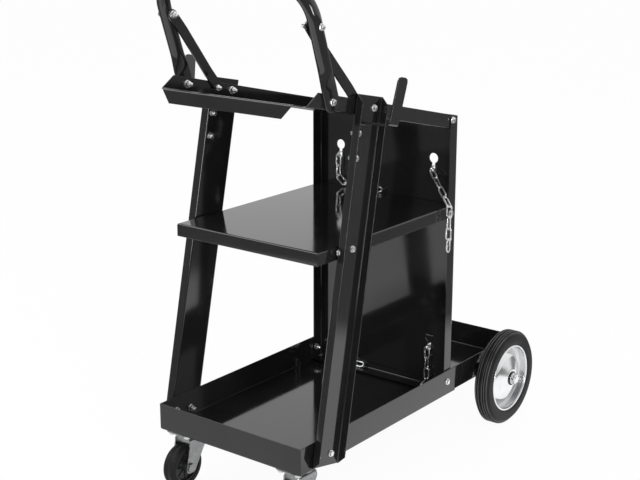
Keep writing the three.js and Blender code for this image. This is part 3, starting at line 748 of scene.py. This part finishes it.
def rim(side_name, side):
    """Pressed rim: a barrel with rolled lips and a domed disc set deep inside it."""
    middle = (side * TYRE_MIDDLE, WHEEL_Y, WHEEL)
    outside = RIM - SEAT
    shape = bmesh.new()
    inside = outside - RIM_SHEET
    lip = BARREL_HALF
    half = [
        (outside, lip - 4), (outside, lip, 0.9), (inside - 1.2, lip, 0.9),
        (inside - 1.2, lip - 2.4, 0.9), (inside, lip - 4),
    ]
    other = [(corner[0], -corner[1], *corner[2:]) for corner in reversed(half)]
    spun(shape, rounded(half + other), middle, RIGHT * side, 96, True)
    dish = RIM_BOSS - RIM_DISH_DEPTH
    front = rounded([
        (inside + 1, dish), (RIM_DISH_RADIUS, dish, 3), (RIM_DOME_RADIUS, RIM_BOSS - RIM_DOME_DEPTH, 22),
        (RIM_BOSS_RADIUS, RIM_BOSS, 6), (BUSH + SEAT, RIM_BOSS),
    ], 8)
    back = [(radius, height - RIM_SHEET) for radius, height in reversed(front)]
    spun(shape, front + back, middle, RIGHT * side, 96, True)
    piece(f"{side_name}_rim_pressing", shape, POLISHED, f"{side_name}_wheel", f"{side_name}_rim")


def caster_wheel(side_name, side):
    """Moulded caster wheel: a tyre with a parting line, and a hub with ribs on both faces."""
    middle = Vector((side * CASTER_X, CASTER_Y - CASTER_TRAIL, CASTER))
    body = f"{side_name}_caster_wheel"
    shape = bmesh.new()
    half = [
        (CASTER_HUB, CASTER_HALF), (CASTER_HUB + 2, CASTER_HALF, 0.8),
        (CASTER, CASTER_HALF, 5), (CASTER, 0.5),
    ]
    other = [(corner[0], -corner[1], *corner[2:]) for corner in reversed(half)]
    spun(shape, rounded(half + [(CASTER - 0.4, 0)] + other), middle, RIGHT, 64, True)
    piece(f"{side_name}_caster_tread", shape, RUBBER, body, f"{side_name}_caster_tyre")
    shape = bmesh.new()
    web = CASTER_WEB
    half = [
        (PIN + GAP, CASTER_HUB_HALF), (CASTER_BOSS, CASTER_HUB_HALF, 1), (CASTER_BOSS + 2, web, 1.5),
        (CASTER_HUB - 5, web, 1.5), (CASTER_HUB - 3.5, CASTER_HALF - 1.5, 1),
        (CASTER_HUB - SEAT, CASTER_HALF - 1.5),
    ]
    other = [(corner[0], -corner[1], *corner[2:]) for corner in reversed(half)]
    spun(shape, rounded(half + other), middle, RIGHT, 64, True)
    reach = CASTER_HUB - CASTER_BOSS - 3
    for k in range(CASTER_RIBS):
        turn = Matrix.Translation(middle) @ Matrix.Rotation(2 * math.pi * k / CASTER_RIBS, 4, "X")
        out = Matrix.Translation((0, 0, CASTER_BOSS + reach / 2))
        size = Matrix.Diagonal((2 * web + 4, 2.2, reach, 1))
        rib = bmesh.ops.create_cube(shape, size=1, matrix=turn @ out @ size)["verts"]
        held = set(rib)
        edges = [edge for edge in shape.edges if held.issuperset(edge.verts)]
        bmesh.ops.bevel(shape, geom=edges, offset=0.5, segments=2, profile=0.5, affect="EDGES", material=-1)
    piece(f"{side_name}_caster_ribs", shape, PLASTIC, body, f"{side_name}_caster_hub")


def handle_levels(top):
    """Heights up a handle leg where the tube changes, from its rounded end to the bend."""
    levels = [-FOOT_WIDE * math.cos(math.radians(turn)) for turn in (15, 30, 45, 60, 75, 90)]
    levels += [FLAT_RISE + (ROUND_RISE - FLAT_RISE) * step / PRESS_STEPS for step in range(PRESS_STEPS + 1)]
    return levels + [top - HANDLE_BEND]


def pressed(height):
    """Half-width and half-thickness of a handle leg at a height above its bolt."""
    if height < 0:
        wide = FOOT_WIDE * math.sqrt(max(0.0, 1 - (height / FOOT_WIDE) ** 2))
        return wide, min(wide, FOOT_THICK)
    share = min(1.0, max(0.0, (height - FLAT_RISE) / (ROUND_RISE - FLAT_RISE)))
    share = share * share * (3 - 2 * share)
    return FOOT_WIDE + (TUBE - FOOT_WIDE) * share, FOOT_THICK + (TUBE - FOOT_THICK) * share


def handle_tube():
    """Bent tube whose two feet are pressed flat and rounded off."""
    foot = Vector((0, *FOOT_BOLT))
    up = (Vector((0, *BRACE_BOLT)) - foot).normalized()
    rearward = up.cross(RIGHT)
    top = (HANDLE_TOP - TUBE - FOOT_BOLT[1]) / up.z
    levels = handle_levels(top)
    shape = bmesh.new()
    start = foot + RIGHT * HANDLE_X + up * levels[0]
    bmesh.ops.create_circle(shape, segments=TUBE_SIDES, radius=TUBE, matrix=upright(start, up))
    ring = shape.edges[:]
    for low, high in zip(levels, levels[1:]):
        ring = drawn(shape, ring, up * (high - low))
    shoulder = foot + up * levels[-1]
    inner = RIGHT * (HANDLE_X - HANDLE_BEND)
    ring = bent(shape, ring, shoulder + inner, -rearward, math.pi / 2, BEND_STEPS)
    ring = drawn(shape, ring, -2 * inner)
    ring = bent(shape, ring, shoulder - inner, -rearward, math.pi / 2, BEND_STEPS)
    for low, high in zip(levels[-1::-1], levels[-2::-1]):
        ring = drawn(shape, ring, up * (high - low))
    for dot in shape.verts:
        height = (dot.co - foot).dot(up)
        if height > ROUND_RISE:
            continue
        wide, thick = pressed(height)
        middle = math.copysign(HANDLE_X, dot.co.x)
        along = (dot.co - foot).dot(rearward)
        flat = math.copysign(wide - thick, along) if abs(along) > GAP else 0.0
        side = (dot.co.x - middle) * thick / TUBE
        dot.co = foot + up * height + RIGHT * (middle + side) + rearward * (flat + along * thick / TUBE)
    ends = [edge for edge in shape.edges if edge.is_boundary]
    bmesh.ops.holes_fill(shape, edges=ends)
    piece("handle_tube", shape, COAT, "frame", "handle")


def smooth_shading():
    """Node group that shades a mesh smooth, apart from its sharper edges."""
    tree = bpy.data.node_groups.new("smooth_shading", "GeometryNodeTree")
    for way in ("INPUT", "OUTPUT"):
        tree.interface.new_socket("Geometry", in_out=way, socket_type="NodeSocketGeometry")
    given = Term(tree, tree.nodes.new("NodeGroupInput").outputs[0])
    turn = given.node("GeometryNodeInputMeshEdgeAngle", {})
    sharp = given.maths("GREATER_THAN", turn, SMOOTH_ANGLE)
    even = given.node("GeometryNodeSetShadeSmooth", {"Geometry": given, "Shade Smooth": True})
    inputs = {"Geometry": even, "Selection": sharp, "Shade Smooth": False}
    edged = given.node("GeometryNodeSetShadeSmooth", inputs, domain="EDGE")
    tree.links.new(edged.socket, tree.nodes.new("NodeGroupOutput").inputs[0])
    return tree


SMOOTH = smooth_shading()


def finished(node, material):
    """Give a node of the frame its material, softened edges and smooth bends."""
    made = frame["nodes"][node]
    for place in made.material_slots:
        place.material = material
    weld = made.modifiers.new("weld", "WELD")
    weld.merge_threshold = 1e-5
    flat = made.modifiers.new("flat_faces", "DECIMATE")
    flat.decimate_type = "DISSOLVE"
    flat.angle_limit = math.radians(1)
    edge = made.modifiers.new("edges", "BEVEL")
    edge.width = EDGE_SOFT * MM
    edge.segments = 2
    edge.limit_method = "ANGLE"
    edge.angle_limit = SMOOTH_ANGLE
    shade = made.modifiers.new("shade", "NODES")
    shade.node_group = SMOOTH
    even = made.modifiers.new("even_faces", "WEIGHTED_NORMAL")
    even.keep_sharp = True


def white_floor():
    """Plain white floor that stays white in view, and in reflections is bright near the cart, with a patch
    of painted shadow in front of it.
    """
    material, shader, place = surface("white_floor")
    shader.inputs["Base Color"].default_value = (0.92, 0.92, 0.92, 1)
    shader.inputs["Roughness"].default_value = 0.9
    tree = material.node_tree
    path = tree.nodes.new("ShaderNodeLightPath")
    seen = Term(tree, path.outputs["Is Camera Ray"])
    glossy = Term(tree, path.outputs["Is Glossy Ray"])
    away = place.node("ShaderNodeVectorMath", {0: place, 1: FLOOR_MIDDLE}, "Value", operation="DISTANCE")
    # Painted shadow: the floor's glow in reflections is lowered near SHADE_MIDDLE, in front of the cart
    near = place.node("ShaderNodeVectorMath", {0: place, 1: SHADE_MIDDLE}, "Value", operation="DISTANCE")
    fade = away.ramp(*FLOOR_FADE) * (FLOOR_NEAR - FLOOR_FAR) + near.ramp(*SHADE_FADE) * SHADE
    glow = seen.node("ShaderNodeEmission", {"Strength": seen + glossy * (FLOOR_NEAR - fade)})
    share = seen * FLOOR_GLOW + glossy
    both = seen.node("ShaderNodeMixShader", {0: share, 1: Term(tree, shader.outputs[0]), 2: glow})
    tree.links.new(both.socket, tree.nodes["Material Output"].inputs["Surface"])
    return material


def studio():
    """White floor, and soft white light from all round that is weaker in front in reflections."""
    shape = bmesh.new()
    bmesh.ops.create_grid(shape, x_segments=1, y_segments=1, size=FLOOR_HALF)
    mesh = bpy.data.meshes.new("floor")
    shape.to_mesh(mesh)
    shape.free()
    floor = bpy.data.objects.new("floor", mesh)
    bpy.context.scene.collection.objects.link(floor)
    mesh.materials.append(white_floor())
    world = bpy.data.worlds.new("studio")
    bpy.context.scene.world = world
    world.use_nodes = True
    tree = world.node_tree
    path = tree.nodes.new("ShaderNodeLightPath")
    glossy = Term(tree, path.outputs["Is Glossy Ray"])
    soft = Term(tree, path.outputs["Is Diffuse Ray"])
    way = Term(tree, tree.nodes.new("ShaderNodeTexCoord").outputs["Generated"])
    rear = way.node("ShaderNodeSeparateXYZ", {"Vector": way}, "Y")
    dim = (1.0 - rear.ramp(*WORLD_TURN)) * (1 - WORLD_FRONT)
    strength = 1.0 - glossy * dim - soft * (1 - WORLD_SOFT)
    tree.links.new(strength.socket, tree.nodes["Background"].inputs["Strength"])
    tree.nodes["Background"].inputs["Color"].default_value = (1, 1, 1, 1)


def lamp(name, place, target, size, power, mirrored=True):
    """Soft rectangular lamp out of view; one that isn't mirrored leaves no image in the glossy sheet."""
    data = bpy.data.lights.new(name, "AREA")
    data.shape = "RECTANGLE"
    data.size, data.size_y = size
    data.energy = power
    made = bpy.data.objects.new(name, data)
    made.visible_glossy = mirrored
    made.visible_camera = False
    made.location = place
    made.rotation_euler = (Vector(target) - Vector(place)).to_track_quat("-Z", "Y").to_euler()
    bpy.context.scene.collection.objects.link(made)


def camera():
    """Camera at the photograph's place, solved from the cart's own edges."""
    data = bpy.data.cameras.new("camera")
    data.sensor_fit = "HORIZONTAL"
    data.sensor_width = 36.0
    data.lens = CAMERA_LENS
    data.clip_end = 200.0
    made = bpy.data.objects.new("camera", data)
    made.location = CAMERA_PLACE
    made.rotation_euler = CAMERA_LOOK.to_track_quat("-Z", "Y").to_euler()
    bpy.context.scene.collection.objects.link(made)
    bpy.context.scene.camera = made


camera()
studio()
lamp("key_light", (-2.2, -2.4, 3.2), (0, 0, 0.4), (2.4, 2.4), 60.0)
lamp("side_light", (1.9, -1.2, 1.7), (0, 0, 0.4), (1.0, 1.0), 20.0, False)
lamp("edge_light", (1.7, -1.3, 0.62), (0, 0, 0.62), (0.45, 0.65), 10.0)
lamp("front_light", (0.9, -2.6, 1.6), (0, 0, 0.4), (0.5, 0.5), 10.0)
for kept in ("front_tray", "rear_tray", "back_panel", "mid_shelf", "top_shelf"):
    finished(kept, COAT)
finished("axle", ZINC)
handle_tube()
chains()
for side_name, side in SIDES:
    for kept in ("post", "cable_hook", "brace", "axle_bracket"):
        finished(f"{side_name}_{kept}", COAT)
    for kept in ("axle_collar", "axle_washer", "axle_nut"):
        finished(f"{side_name}_{kept}", ZINC)
    for kept in ("caster_plate", "caster_race", "caster_kingpin", "caster_yoke", "caster_pin"):
        finished(f"{side_name}_{kept}", DULL)
    finished(f"{side_name}_wheel_bush", PLASTIC)
    tyre(side_name, side)
    rim(side_name, side)
    caster_wheel(side_name, side)
    post_bolts(side_name, side)
    panel_bolts(side_name, side)
    handle_bolts(side_name, side)
    floor_bolts(side_name, side)

bpy.context.scene.view_settings.view_transform = "Standard"
